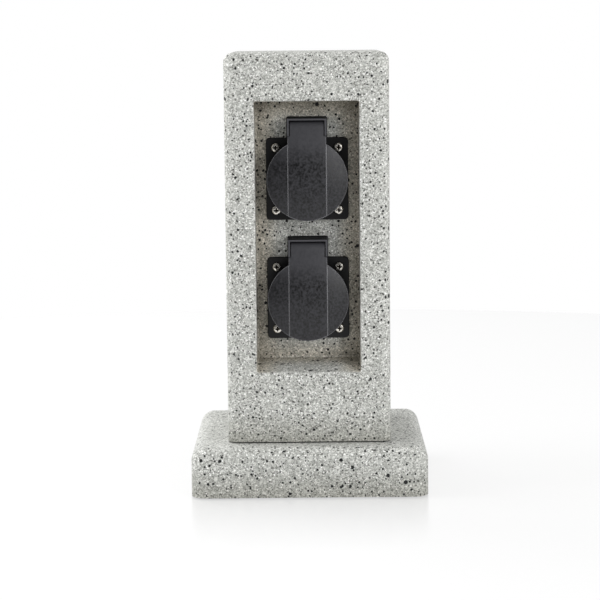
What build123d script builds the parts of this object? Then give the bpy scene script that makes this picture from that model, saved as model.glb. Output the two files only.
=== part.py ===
from build123d import *
import os
from math import radians, sqrt, tan

# Garden socket post: a hollow cast column on a separate cast base, with two earthed flange sockets
# under hinged lids in a recess. Millimetres. X runs to the right, Y to the back, Z up. The origin is
# in the middle of the footprint, on the ground.

# Shared values
overrun = 1.0
merge_depth = 0.1
seat_gap = 0.1
thread_gap = 0.05
screw_gap = 0.2

# Base
base_width = 143.0
base_depth = 140.0
base_height = 29.9
base_top_radius = 8.6
base_corner_margin = 1.0
base_wall = 9.0
base_roof = 9.0
base_cavity_radius = 3.0
base_boss_radius = 6.0
base_boss_inset = 19.5
base_rib = 4.0
base_rib_clearance = 3.7

# Cover plate under the base, with its feet and screws
plate_thickness = 2.0
plate_lip = 3.5
plate_gap = 0.3
foot_radius = 8.0
foot_height = 4.0
foot_proud = 0.8
foot_web = 0.8
foot_pocket_gap = 0.6
foot_chamfer = 0.6
cover_screw_radius = 1.7
cover_screw_length = 11.0
cover_screw_head_radius = 3.8
cover_screw_head_height = 2.4

# Column. Its height is the recess with a margin above it and one below.
column_side_width = 18.1
column_depth = 104.0
column_top_radius = 5.8
column_edge_margin = 0.4
column_wall = 8.0
column_cavity_radius = 3.0
column_post_width = 15.0
column_post_height = 22.0
joint_seal_thickness = 0.8
joint_seal_inset = 2.0

# Recess in the front of the column, with the room that it leaves round the sockets
recess_top_margin = 29.2
recess_bottom_margin = 42.5
recess_side_gap = 6.4
recess_top_gap = 10.4
socket_gap = 10.6
sill_gap = 18.1
sill_rise = 5.8
lid_setback = 4.7
recess_corner_radius = 1.2
recess_mouth_radius = 0.9

# Screws from the base into the column
column_screw_radius = 2.5
column_screw_length = 19.0
column_screw_head_radius = 4.25
column_screw_head_height = 3.0
column_screw_socket = 4.0
column_screw_socket_depth = 1.8
column_screw_gap = 0.3
column_washer_radius = 5.0
column_washer_thickness = 1.0
column_insert_radius = 3.5
column_insert_length = 12.0

# Plug well, collar and body of a socket
well_radius = 19.5
well_depth = 17.5
well_floor = 2.5
collar_wall = 3.0
collar_height = 12.0
collar_edge_radius = 0.6
body_wall = 2.0
body_length = 28.0
panel_gap = 0.5
key_width = 5.0
key_height = 2.2
key_setback = 1.5
wire_notch_gap = 2.8
wire_notch_side_gap = 1.6
cap_boss_gap = 0.7
cap_boss_wall_gap = 0.3

# Socket flange and its gasket
flange_margin = 2.5
flange_thickness = 2.2
flange_corner_radius = 2.5
flange_edge_radius = 0.5
flange_hole_inset = 6.0
flange_hole_gap = 0.15
gasket_thickness = 0.8
gasket_inset = 0.5

# Flange screws and the threaded inserts that they go into
flange_screw_radius = 1.5
flange_screw_head_radius = 2.7
flange_screw_head_height = 1.9
flange_screw_dome = 0.7
cross_slot_length = 3.0
cross_slot_width = 0.7
cross_slot_depth = 0.9
flange_insert_radius = 2.1
flange_insert_length = 6.0

# Hinge pin, lid spring and lid seal
pin_radius = 1.25
pin_gap = 0.05
spring_wire_radius = 0.3
spring_end_relief = 0.01
spring_pin_gap = 0.3
spring_coils = 5
spring_last_turn_share = 0.25
spring_side_gap = 0.85
spring_hole_gap = 0.1
spring_tail_reach = 1.2
lid_seal_outer_inset = 0.2
lid_seal_inner_inset = 0.7
lid_seal_gap = 0.1

# Hinge housing above the flange
housing_rise = 12.2
housing_roof = 1.2
housing_roof_gap = 0.4
housing_edge_radius = 0.7
housing_front_radius = 0.3
tab_margin = 0.6
ear_thickness = 1.2
ear_gap = 0.55
ear_foot_setback = 0.5
ear_clearance = 0.3
ear_corner_drop = 5.25

# Lid
lid_overhang = 2.0
lid_gap = 1.3
lid_thickness = 3.0
lid_rim_thickness = 1.4
lid_edge_radius = 0.3
lid_band_setback = 0.3
lid_band_step = 0.35
lid_groove_depth = 0.5
tongue_width = 20.3
tongue_thickness = 2.2
tongue_root_depth = 2.0
tongue_root_rise = 0.5
knuckle_length = 5.0
knuckle_skin = 1.1
spring_pocket_gap = 0.25
spring_pocket_drop = 6.0
spring_hole_depth = 3.6

# Contacts of a socket
pin_spacing = 19.0
pin_hole_radius = 2.75
carrier_gap = 0.3
sleeve_radius = 3.1
sleeve_bore_radius = 2.4
sleeve_floor = 1.0
sleeve_slot = 0.8
sleeve_slot_floor = 2.0
terminal_width = 6.8
terminal_height = 7.2
terminal_length = 6.8
terminal_wire_setback = 3.2
terminal_screw_radius = 1.2
terminal_screw_tip_gap = 0.75
terminal_screw_head_radius = 2.2
terminal_screw_head_height = 1.4
terminal_screw_room = 2.8
earth_strip_width = 7.0
earth_strip_thickness = 0.8
earth_arm_inset = 1.2
earth_nose_reach = 1.5
earth_nose_setback = 4.8
earth_tip_length = 2.4
earth_bend_radius = 0.9
earth_slot_gap = 0.3

# Rear cap of a socket
rear_cap_thickness = 2.0
cap_screw_boss_share = 0.4
cap_screw_length = 9.0
cap_screw_head_boss_share = 0.7
cap_screw_head_height = 1.4

# Wires inside the column
wire_radius = 1.4
conductor_radius = 0.75
conductor_gap = 0.25
strip_length = 2.6
clamp_strip_length = 6.0
wire_end_gap = 0.3
supply_clearance = 2.9
link_bow = 9.0
link_rise_share = 0.25
bend_share = 0.45

# Cable gland at the back of the column
gland_rise = 18.5
gland_across_flats = 20.0
gland_thread_radius = 8.0
gland_hole_gap = 0.15
gland_shank_reach = 1.0
gland_flange = 4.0
gland_washer_width = 1.8
gland_washer_thickness = 1.0
gland_neck_wall = 0.7
gland_neck_length = 8.0
gland_seat_depth = 6.5
gland_seal_wall = 1.7
gland_seal_proud = 1.3
cable_radius = 4.5
cable_gap = 0.5
gland_cap_gap = 0.3
gland_cap_nose = 2.6
gland_cap_mouth_gap = 0.9
gland_nut_across_flats = 22.0
gland_nut_thickness = 5.0

# Supply terminal block on the back wall of the column, above the gland
block_gland_gap = 1.0
block_end_width = 10.0
block_depth = 16.0
block_height = 22.0
block_web = 1.3
block_boss_radius = 4.0
block_boss_height = 5.2
clamp_radius = 3.2
clamp_bore_radius = 1.3
clamp_end_gap = 2.0
clamp_screw_offset = 5.0
clamp_screw_radius = 1.5
clamp_screw_length = 4.4
clamp_screw_well_radius = 2.2
clamp_slot_width = 0.6
block_screw_radius = 1.5
block_screw_length = 20.5
block_screw_head_radius = 2.7
block_screw_head_height = 1.8

# Socket sizes worked out from the sizes above, measured from the front face of the flange
collar_radius = well_radius + collar_wall
body_radius = well_radius + body_wall
panel_hole_radius = body_radius + panel_gap
flange_size = 2 * (collar_radius + flange_margin)
flange_hole = flange_size / 2 - flange_hole_inset
flange_hole_radius = flange_screw_radius + flange_hole_gap
flange_places = [(x, z) for x in (-flange_hole, flange_hole) for z in (-flange_hole, flange_hole)]
panel_front = flange_thickness + gasket_thickness
flange_screw_length = panel_front + flange_insert_length
well_bottom = well_depth - collar_height
floor_back = well_bottom + well_floor
spring_mean_radius = pin_radius + spring_pin_gap + spring_wire_radius
spring_pocket_radius = spring_mean_radius + spring_wire_radius + spring_pocket_gap
spring_length = tongue_width - 2 * (knuckle_length + spring_wire_radius + spring_side_gap)
spring_turns = spring_coils + spring_last_turn_share
knuckle_radius = spring_pocket_radius + knuckle_skin
lid_radius = collar_radius + lid_overhang
lid_stand = collar_height + lid_gap + lid_thickness
lid_front = -lid_stand
lid_back = lid_front + lid_thickness
lid_seal_outer_radius = collar_radius - lid_seal_outer_inset
lid_seal_inner_radius = well_radius + lid_seal_inner_inset
housing_height = flange_size / 2 + housing_rise
housing_roof_bottom = housing_height - housing_roof
pin_y = lid_front + knuckle_radius
pin_z = housing_roof_bottom - housing_roof_gap - knuckle_radius
ear_inner = tongue_width / 2 + ear_gap
ear_outer = ear_inner + ear_thickness
ear_bottom = pin_z - ear_corner_drop
ear_foot = sqrt((well_radius + collar_wall / 2) ** 2 - ear_outer**2)
ear_sweep_radius = sqrt(knuckle_radius**2 + ear_corner_drop**2) + ear_clearance
half_band = ear_outer - lid_band_setback
half_tab = ear_outer + tab_margin
tab_top = housing_height + tab_margin

# Contacts, which fill the length of the body
pin_x = pin_spacing / 2
carrier_front = floor_back + seat_gap
terminal_back = body_length - terminal_screw_room - terminal_screw_head_height
carrier_back = terminal_back - terminal_length
wire_plane = carrier_back + terminal_wire_setback
earth_arm = well_radius - earth_arm_inset
earth_nose = earth_arm - earth_nose_reach
terminal_bore_radius = conductor_radius + conductor_gap
cap_boss_start = pin_x + terminal_width / 2 + cap_boss_gap
cap_boss_radius = (well_radius - cap_boss_wall_gap - cap_boss_start) / 2
cap_boss_x = cap_boss_start + cap_boss_radius
cap_screw_radius = cap_screw_boss_share * cap_boss_radius
cap_screw_head_radius = cap_screw_head_boss_share * cap_boss_radius

# Recess and column
recess_width = flange_size + 2 * recess_side_gap
recess_depth = panel_front + lid_stand + lid_setback
upper_socket_drop = recess_top_gap + housing_height
socket_pitch = flange_size / 2 + socket_gap + housing_height
recess_height = upper_socket_drop + socket_pitch + flange_size / 2 + sill_gap
column_width = recess_width + 2 * column_side_width
column_height = recess_top_margin + recess_height + recess_bottom_margin
column_edge_radius = column_top_radius + column_edge_margin

# Places in the whole post
base_bottom = foot_proud
base_top = base_bottom + base_height
base_cavity_top = base_top - base_roof
base_corner_radius = base_top_radius + base_corner_margin
plate_bottom = foot_height
plate_top = plate_bottom + plate_thickness
foot_pocket_depth = foot_height - foot_web
foot_x = base_width / 2 - base_boss_inset
foot_y = base_depth / 2 - base_boss_inset
foot_places = [(x, y) for x in (-foot_x, foot_x) for y in (-foot_y, foot_y)]
column_bottom = base_top + joint_seal_thickness
column_top = column_bottom + column_height
column_front = -column_depth / 2
column_back = column_depth / 2
cavity_half_width = column_width / 2 - column_wall
cavity_front = column_front + column_wall
cavity_back = column_back - column_wall
post_x = cavity_half_width - column_post_width / 2
post_y = cavity_back - column_post_width / 2
post_places = [(x, y) for x in (-post_x, post_x) for y in (-post_y, post_y)]
recess_back = column_front + recess_depth
recess_top = column_top - recess_top_margin
sill_front = recess_top - recess_height
flange_front = recess_back - panel_front
socket_heights = {
    "upper": recess_top - upper_socket_drop,
    "lower": recess_top - upper_socket_drop - socket_pitch,
}
gland_height = column_bottom + gland_rise
gland_flange_front = column_back + gland_washer_thickness
gland_neck_front = gland_flange_front + gland_flange
gland_neck_end = gland_neck_front + gland_neck_length
gland_bore_radius = cable_radius + cable_gap
gland_seal_radius = cable_radius + gland_seal_wall
gland_neck_radius = gland_seal_radius + seat_gap + gland_neck_wall
gland_seal_end = gland_neck_end + gland_seal_proud
gland_shank_front = cavity_back - gland_nut_thickness - gland_shank_reach
block_pole_pitch = 2 * (clamp_radius + block_screw_radius + block_web)
block_width = 2 * block_pole_pitch + block_end_width
block_centre_height = gland_height + gland_thread_radius + block_gland_gap + block_height / 2
block_y = cavity_back - block_boss_height - block_depth / 2
block_front = block_y - block_depth / 2
block_screw_places = [-block_pole_pitch / 2, block_pole_pitch / 2]
pole_places = [-block_pole_pitch, 0, block_pole_pitch]
clamp_length = block_height - 2 * clamp_end_gap


def block(x0, x1, y0, y1, z0, z1):
    """A box between six faces."""
    return Pos((x0 + x1) / 2, (y0 + y1) / 2, (z0 + z1) / 2) * Box(x1 - x0, y1 - y0, z1 - z0)


def span(side, a, b):
    """Two distances from the middle plane, taken to one side of it, in rising order."""
    return sorted((side * a, side * b))


def rod_x(y, z, radius, x0, x1):
    return Pos((x0 + x1) / 2, y, z) * Rot(0, 90, 0) * Cylinder(radius, x1 - x0)


def rod_y(x, z, radius, y0, y1):
    return Pos(x, (y0 + y1) / 2, z) * Rot(90, 0, 0) * Cylinder(radius, y1 - y0)


def rod_z(x, y, radius, z0, z1):
    return Pos(x, y, (z0 + z1) / 2) * Cylinder(radius, z1 - z0)


def tube_y(x, z, outer, inner, y0, y1):
    return rod_y(x, z, outer, y0, y1) - rod_y(x, z, inner, y0 - overrun, y1 + overrun)


def hexagon_y(x, z, across_flats, y0, y1):
    shape = extrude(RegularPolygon(across_flats / 2, 6, major_radius=False), amount=y1 - y0)
    return Pos(x, y0, z) * Rot(-90, 0, 0) * shape


def rounded_plan(width, depth, radius, z0, z1):
    return Pos(0, 0, z0) * extrude(RectangleRounded(width, depth, radius), amount=z1 - z0)


def rounded_front(width, height, radius, y0, y1):
    """A plate that stands upright, with rounded corners, between two depths."""
    shape = extrude(RectangleRounded(width, height, radius), amount=y1 - y0)
    return Pos(0, y1, 0) * Rot(90, 0, 0) * shape


def group(shapes):
    """Like pieces that share one node, as separate solids."""
    return Compound([solid for shape in shapes for solid in shape.solids()])


def base_block():
    outer = rounded_plan(base_width, base_depth, base_corner_radius, base_bottom, base_top)
    outer = fillet(outer.edges().group_by(Axis.Z)[-1], base_top_radius)
    cavity_width = base_width - 2 * base_wall
    cavity_depth = base_depth - 2 * base_wall
    cavity = rounded_plan(
        cavity_width, cavity_depth, base_cavity_radius, base_bottom - overrun, base_cavity_top
    )
    rebate = rounded_plan(
        cavity_width + 2 * plate_lip,
        cavity_depth + 2 * plate_lip,
        base_cavity_radius + plate_lip,
        base_bottom - overrun,
        plate_top,
    )
    shell = outer - cavity - rebate
    half_rib = base_rib / 2
    rib_bottom = plate_top + base_rib_clearance
    rib_top = base_cavity_top + overrun
    for x, y in foot_places:
        side = 1 if x > 0 else -1
        end = 1 if y > 0 else -1
        shell += rod_z(x, y, base_boss_radius, plate_top, rib_top)
        x0, x1 = span(side, foot_x, cavity_width / 2 + overrun)
        y0, y1 = span(end, foot_y, cavity_depth / 2 + overrun)
        shell += block(x0, x1, y - half_rib, y + half_rib, rib_bottom, rib_top)
        shell += block(x - half_rib, x + half_rib, y0, y1, rib_bottom, rib_top)
    for x, y in foot_places:
        hole_top = plate_bottom + cover_screw_length
        shell -= rod_z(x, y, cover_screw_radius + thread_gap, plate_top - overrun, hole_top)
    for x, y in post_places:
        hole = column_screw_radius + column_screw_gap
        shell -= rod_z(x, y, hole, base_cavity_top - overrun, base_top + overrun)
    return shell


def base_cover_plate():
    width = base_width - 2 * (base_wall - plate_lip + plate_gap)
    depth = base_depth - 2 * (base_wall - plate_lip + plate_gap)
    plate = rounded_plan(width, depth, base_cavity_radius + plate_lip, plate_bottom, plate_top)
    for x, y in foot_places:
        plate -= rod_z(x, y, cover_screw_radius + screw_gap, plate_bottom - overrun, plate_top + overrun)
    return plate


def rubber_feet():
    feet = []
    for x, y in foot_places:
        foot = Cylinder(foot_radius, foot_height)
        foot = chamfer(foot.edges().group_by(Axis.Z)[0], foot_chamfer)
        foot = Pos(x, y, foot_height / 2) * foot
        foot -= rod_z(x, y, cover_screw_radius + seat_gap, -overrun, foot_height + overrun)
        foot -= rod_z(x, y, cover_screw_head_radius + foot_pocket_gap, -overrun, foot_pocket_depth)
        feet.append(foot)
    return group(feet)


def base_cover_screws():
    screws = []
    for x, y in foot_places:
        head_bottom = foot_pocket_depth - cover_screw_head_height
        head = rod_z(x, y, cover_screw_head_radius, head_bottom, foot_pocket_depth)
        shank_top = plate_bottom + cover_screw_length - seat_gap
        screws.append(head + rod_z(x, y, cover_screw_radius, foot_pocket_depth - merge_depth, shank_top))
    return group(screws)


def column_shell():
    outer = rounded_plan(column_width, column_depth, column_edge_radius, column_bottom, column_top)
    outer = fillet(outer.edges().group_by(Axis.Z)[-1], column_top_radius)
    wall_back = recess_back + column_wall
    tall_cavity = Pos(0, (wall_back + cavity_back) / 2, column_bottom - overrun) * extrude(
        RectangleRounded(2 * cavity_half_width, cavity_back - wall_back, column_cavity_radius),
        amount=column_height - column_wall + overrun,
    )
    foot_cavity = rounded_plan(
        2 * cavity_half_width,
        cavity_back - cavity_front,
        column_cavity_radius,
        column_bottom - overrun,
        sill_front - column_wall,
    )
    sill = [
        (column_front - overrun, sill_front - sill_rise * overrun / recess_depth),
        (recess_back, sill_front + sill_rise),
        (recess_back, recess_top),
        (column_front - overrun, recess_top),
    ]
    recess = extrude(Plane.YZ * make_face(Polyline(sill, close=True)), amount=recess_width / 2, both=True)
    inner_edges = recess.edges().filter_by(lambda edge: edge.center().Y > column_front)
    recess = fillet(inner_edges, recess_corner_radius)
    shell = outer - tall_cavity - foot_cavity
    for x, y in post_places:
        side = 1 if x > 0 else -1
        end = 1 if y > 0 else -1
        x0, x1 = span(side, cavity_half_width - column_post_width, cavity_half_width + overrun)
        y0, y1 = span(end, cavity_back - column_post_width, cavity_back + overrun)
        shell += block(x0, x1, y0, y1, column_bottom, column_bottom + column_post_height)
        hole_top = column_bottom + column_insert_length + seat_gap
        shell -= rod_z(x, y, column_insert_radius, column_bottom - overrun, hole_top)
    for x in block_screw_places:
        boss_front = cavity_back - block_boss_height
        shell += rod_y(x, block_centre_height, block_boss_radius, boss_front, cavity_back + overrun)
        screw_end = block_front + block_screw_length
        hole = block_screw_radius + thread_gap
        shell -= rod_y(x, block_centre_height, hole, boss_front - overrun, screw_end + seat_gap)
    shell -= recess
    for height in socket_heights.values():
        shell -= rod_y(0, height, panel_hole_radius, recess_back - overrun, wall_back + overrun)
        for x, z in flange_places:
            hole_end = recess_back + flange_insert_length + screw_gap
            shell -= rod_y(x, height + z, flange_insert_radius, recess_back - overrun, hole_end)
    hole = gland_thread_radius + gland_hole_gap
    shell -= rod_y(0, gland_height, hole, cavity_back - overrun, column_back + overrun)
    mouth = shell.edges().filter_by(
        lambda edge: abs(edge.center().Y - column_front) < merge_depth
        and abs(edge.center().X) < recess_width / 2 + merge_depth
        and sill_front - merge_depth < edge.center().Z < recess_top + merge_depth
    )
    return fillet(mouth, recess_mouth_radius)


def column_seal():
    outer = rounded_plan(
        column_width - 2 * joint_seal_inset,
        column_depth - 2 * joint_seal_inset,
        column_edge_radius - joint_seal_inset,
        base_top,
        column_bottom,
    )
    inner = rounded_plan(
        2 * cavity_half_width,
        cavity_back - cavity_front,
        column_cavity_radius,
        base_top - overrun,
        column_bottom + overrun,
    )
    return outer - inner


def column_screws():
    screws = []
    for x, y in post_places:
        washer_bottom = base_cavity_top - column_washer_thickness
        head_bottom = washer_bottom - column_screw_head_height
        head = rod_z(x, y, column_screw_head_radius, head_bottom, washer_bottom)
        key = extrude(
            RegularPolygon(column_screw_socket / 2, 6, major_radius=False), amount=column_screw_socket_depth
        )
        head -= Pos(x, y, head_bottom) * key
        tip = washer_bottom + column_screw_length
        screws.append(head + rod_z(x, y, column_screw_radius, washer_bottom, tip))
    return group(screws)


def column_screw_washers():
    washers = []
    for x, y in post_places:
        bottom = base_cavity_top - column_washer_thickness
        washer = rod_z(x, y, column_washer_radius, bottom, base_cavity_top)
        hole = column_screw_radius + seat_gap
        washers.append(washer - rod_z(x, y, hole, bottom - overrun, base_cavity_top + overrun))
    return group(washers)


def column_inserts():
    inserts = []
    for x, y in post_places:
        top = column_bottom + column_insert_length
        insert = rod_z(x, y, column_insert_radius, column_bottom, top)
        bore = column_screw_radius + thread_gap
        inserts.append(insert - rod_z(x, y, bore, column_bottom - overrun, top + overrun))
    return group(inserts)


def pan_head_y(x, z, radius, height, dome, y_seat):
    """A pan head with a cross slot that stands forward of its seat."""
    head = rod_y(x, z, radius, y_seat - height, y_seat)
    head = fillet(head.edges().group_by(Axis.Y)[0], dome)
    y0 = y_seat - height - overrun
    y1 = y_seat - height + cross_slot_depth
    half_length = cross_slot_length / 2
    half_width = cross_slot_width / 2
    head -= block(x - half_length, x + half_length, y0, y1, z - half_width, z + half_width)
    head -= block(x - half_width, x + half_width, y0, y1, z - half_length, z + half_length)
    return head


def hinge_housing():
    """The roofed pair of ears that holds the hinge pin, with feet down to the collar."""
    root = flange_thickness / 2
    housing = block(-ear_outer, ear_outer, lid_front, root, ear_bottom, housing_height)
    top_edges = housing.edges().filter_by(Axis.Y).group_by(Axis.Z)[-1]
    housing = fillet(top_edges, housing_edge_radius)
    housing = fillet(housing.edges().group_by(Axis.Y)[0], housing_front_radius)
    housing -= block(
        -ear_inner, ear_inner, lid_front - overrun, 0, ear_bottom - overrun, housing_roof_bottom
    )
    for side in (-1, 1):
        x0, x1 = span(side, ear_inner, ear_outer)
        foot_front = ear_foot_setback - collar_height
        housing += block(x0, x1, foot_front, root, ear_foot, ear_bottom + merge_depth)
    return housing


def socket_body():
    flange = rounded_front(flange_size, flange_size, flange_corner_radius, 0, flange_thickness)
    tab_bottom = flange_size / 2 - flange_corner_radius
    tab = block(-half_tab, half_tab, 0, flange_thickness, tab_bottom, tab_top)
    flange += fillet(tab.edges().filter_by(Axis.Y).group_by(Axis.Z)[-1], tab_margin + housing_edge_radius)
    body = fillet(flange.edges().group_by(Axis.Y)[0], flange_edge_radius)
    root = flange_thickness / 2
    collar = rod_y(0, 0, collar_radius, -collar_height, root)
    body += fillet(collar.edges().group_by(Axis.Y)[0], collar_edge_radius)
    body += rod_y(0, 0, body_radius, root, body_length)
    body += hinge_housing()
    body -= rod_y(0, 0, well_radius, -collar_height - overrun, well_bottom)
    body -= rod_y(0, 0, well_radius, floor_back, body_length + overrun)
    half_slot = earth_strip_thickness / 2 + earth_slot_gap
    half_strip = earth_strip_width / 2 + earth_slot_gap
    half_notch = pin_x + wire_radius + wire_notch_side_gap
    half_key = key_width / 2
    notch_front = wire_plane - wire_radius - wire_notch_gap
    cap_screw_front = body_length + rear_cap_thickness - cap_screw_length
    for side in (-1, 1):
        x0, x1 = span(side, well_radius - key_height, well_radius + merge_depth)
        body += block(x0, x1, key_setback - collar_height, well_bottom + merge_depth, -half_key, half_key)
        boss_x = side * cap_boss_x
        body += rod_y(boss_x, 0, cap_boss_radius, floor_back - merge_depth, body_length)
        body -= rod_y(boss_x, 0, cap_screw_radius + thread_gap, cap_screw_front, body_length + overrun)
        body -= rod_y(side * pin_x, 0, pin_hole_radius, well_bottom - overrun, floor_back + overrun)
        z0, z1 = span(side, earth_arm - half_slot, earth_arm + half_slot)
        body -= block(-half_strip, half_strip, well_bottom - overrun, floor_back + overrun, z0, z1)
        z0, z1 = span(side, terminal_height, body_radius + overrun)
        body -= block(-half_notch, half_notch, notch_front, body_length + overrun, z0, z1)
    for x, z in flange_places:
        body -= rod_y(x, z, flange_hole_radius, -overrun, flange_thickness + overrun)
    body -= rod_x(pin_y, pin_z, pin_radius + pin_gap / 2, -ear_outer - overrun, ear_outer + overrun)
    tail_hole = spring_wire_radius + spring_hole_gap
    tail_z = pin_z + spring_mean_radius
    body -= rod_y(spring_length / 2, tail_z, tail_hole, -overrun, spring_tail_reach)
    return body


def hinge_pin():
    return rod_x(pin_y, pin_z, pin_radius, -ear_outer, ear_outer)


def lid():
    """A round disc with a raised band that runs up into the hinge tongue and its knuckle."""
    step_y = lid_front + lid_band_step
    rim_y = lid_back - lid_rim_thickness
    section = [
        (-lid_radius, rim_y),
        (-half_band, step_y),
        (-half_band, lid_front),
        (half_band, lid_front),
        (half_band, step_y),
        (lid_radius, rim_y),
        (lid_radius, lid_back),
        (-lid_radius, lid_back),
    ]
    slab = extrude(make_face(Polyline(section, close=True)), amount=lid_radius + overrun, both=True)
    shape = slab & rod_y(0, 0, lid_radius, lid_front - overrun, lid_back)
    shape += block(-half_band, half_band, lid_front, lid_back, 0, pin_z)
    front_edges = shape.edges().filter_by(lambda edge: edge.center().Y < rim_y + merge_depth)
    round_edges = front_edges.filter_by(GeomType.LINE, reverse=True)
    band_edges = front_edges.filter_by(Axis.Z).filter_by(lambda edge: edge.center().Y < step_y - merge_depth)
    shape = fillet(round_edges + band_edges, lid_edge_radius)
    shape -= rod_x(pin_y, pin_z, ear_sweep_radius, -lid_radius, lid_radius)
    half_tongue = tongue_width / 2
    tongue_back = lid_front + tongue_thickness
    shape += block(-half_tongue, half_tongue, lid_front, tongue_back, lid_radius - overrun, pin_z)
    shoulder = pin_z - sqrt(ear_sweep_radius**2 - knuckle_radius**2)
    root_bottom = shoulder - tongue_root_depth
    root_top = shoulder + tongue_root_rise
    shape += block(-half_tongue, half_tongue, lid_front, lid_back, root_bottom, root_top)
    shape += rod_x(pin_y, pin_z, knuckle_radius, -half_tongue, half_tongue)
    half_pocket = half_tongue - knuckle_length
    pocket_front = pin_y - spring_pocket_radius
    pocket_back = pin_y + knuckle_radius + overrun
    pocket_bottom = pin_z - spring_pocket_drop
    tail_top = pin_z + spring_mean_radius + spring_wire_radius + spring_pocket_gap
    shape -= rod_x(pin_y, pin_z, spring_pocket_radius, -half_pocket, half_pocket)
    shape -= block(-half_pocket, half_pocket, pocket_front, pocket_back, pocket_bottom, pin_z)
    shape -= block(-half_pocket, half_pocket, pin_y, pocket_back, pin_z - overrun, tail_top)
    hole = spring_wire_radius + spring_hole_gap
    hole_bottom = pocket_bottom - spring_hole_depth
    hole_y = pin_y - spring_mean_radius
    shape -= rod_z(-spring_length / 2, hole_y, hole, hole_bottom, pocket_bottom + overrun)
    shape -= rod_x(pin_y, pin_z, pin_radius + pin_gap, -half_tongue - overrun, half_tongue + overrun)
    groove_front = lid_back - lid_groove_depth
    return shape - tube_y(
        0, 0, lid_seal_outer_radius, lid_seal_inner_radius, groove_front, lid_back + overrun
    )


def lid_seal():
    front = lid_back - lid_groove_depth
    back = -collar_height - lid_seal_gap
    return tube_y(0, 0, lid_seal_outer_radius, lid_seal_inner_radius, front, back)


def lid_spring():
    """A wound wire with one leg down into the lid and one tail back into the housing."""
    start = -spring_length / 2
    frame = Plane(origin=(start, pin_y, pin_z), x_dir=(0, -1, 0), z_dir=(1, 0, 0))
    pitch = spring_length / spring_turns
    coil = frame * Helix(pitch, spring_length, spring_mean_radius, lefthand=True)
    profile = Plane(origin=coil @ 0, z_dir=coil % 0) * Circle(spring_wire_radius)
    wire = sweep(profile, path=coil, is_frenet=True)
    leg_bottom = pin_z - spring_pocket_drop - spring_hole_depth + spring_hole_gap
    leg_top = pin_z + spring_wire_radius
    end_radius = spring_wire_radius - spring_end_relief
    wire += rod_z(start, pin_y - spring_mean_radius, end_radius, leg_bottom, leg_top)
    tail_start = pin_y - spring_wire_radius
    tail_end = spring_tail_reach - spring_hole_gap
    wire += rod_y(-start, pin_z + spring_mean_radius, end_radius, tail_start, tail_end)
    return wire


def socket_gasket():
    size = flange_size - 2 * gasket_inset
    gasket = rounded_front(size, size, flange_corner_radius, flange_thickness, panel_front)
    half_width = half_tab - gasket_inset
    bottom = size / 2 - flange_corner_radius
    top = tab_top - gasket_inset
    gasket += block(-half_width, half_width, flange_thickness, panel_front, bottom, top)
    gasket -= rod_y(0, 0, body_radius + seat_gap, 0, panel_front + overrun)
    for x, z in flange_places:
        gasket -= rod_y(x, z, flange_hole_radius, 0, panel_front + overrun)
    return gasket


def flange_screws():
    screws = []
    for x, z in flange_places:
        head = pan_head_y(x, z, flange_screw_head_radius, flange_screw_head_height, flange_screw_dome, 0)
        screws.append(head + rod_y(x, z, flange_screw_radius, -merge_depth, flange_screw_length))
    return group(screws)


def flange_inserts():
    front = panel_front + seat_gap
    back = front + flange_insert_length
    bore = flange_screw_radius + thread_gap
    return group([tube_y(x, z, flange_insert_radius, bore, front, back) for x, z in flange_places])


def contact_carrier():
    radius = well_radius - carrier_gap
    carrier = rod_y(0, 0, radius, carrier_front, carrier_back)
    front = carrier_front - overrun
    back = carrier_back + overrun
    rim = radius + overrun
    half_boss = cap_boss_radius + seat_gap
    half_slot = earth_strip_width / 2 + earth_slot_gap
    slot_bottom = earth_arm - earth_strip_thickness / 2 - earth_slot_gap
    for side in (-1, 1):
        carrier -= rod_y(side * pin_x, 0, sleeve_radius + seat_gap, front, back)
        carrier -= rod_y(side * cap_boss_x, 0, half_boss, front, back)
        x0, x1 = span(side, cap_boss_x, rim)
        carrier -= block(x0, x1, front, back, -half_boss, half_boss)
        z0, z1 = span(side, slot_bottom, rim)
        carrier -= block(-half_slot, half_slot, front, back, z0, z1)
    return carrier


def terminal(x, front):
    """A clamp at the back of a contact, with its wire hole along Z and its screw hole from behind."""
    half_width = terminal_width / 2
    half_height = terminal_height / 2
    shape = block(x - half_width, x + half_width, front, terminal_back, -half_height, half_height)
    shape -= rod_z(x, wire_plane, terminal_bore_radius, -half_height - overrun, half_height + overrun)
    hole = terminal_screw_radius + thread_gap
    shape -= rod_y(x, 0, hole, wire_plane, terminal_back + overrun)
    return shape


def pin_contacts():
    contacts = []
    front = carrier_front - overrun
    half_slot = sleeve_slot / 2
    rim = sleeve_radius + overrun
    for x in (-pin_x, pin_x):
        contact = rod_y(x, 0, sleeve_radius, carrier_front, carrier_back + merge_depth)
        contact += terminal(x, carrier_back + seat_gap)
        contact -= rod_y(x, 0, sleeve_bore_radius, front, carrier_back - sleeve_floor)
        slot_back = carrier_back - sleeve_slot_floor
        contact -= block(x - half_slot, x + half_slot, front, slot_back, -rim, rim)
        contacts.append(contact)
    return group(contacts)


def earth_strap():
    """One bent strip whose two ends are the earth clips, with the earth terminal behind it."""
    back = carrier_back + earth_strip_thickness / 2 + seat_gap
    points = []
    for side in (1, -1):
        arm = [
            (-earth_nose_setback - earth_tip_length, side * earth_arm),
            (-earth_nose_setback, side * earth_nose),
            (0, side * earth_arm),
            (back, side * earth_arm),
        ]
        points += arm if side > 0 else arm[::-1]
    line = Plane.YZ * FilletPolyline(points, radius=earth_bend_radius)
    section = Plane(origin=line @ 0, x_dir=(1, 0, 0), z_dir=line % 0)
    strap = sweep(section * Rectangle(earth_strip_width, earth_strip_thickness), path=line)
    return strap + terminal(0, back)


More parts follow.
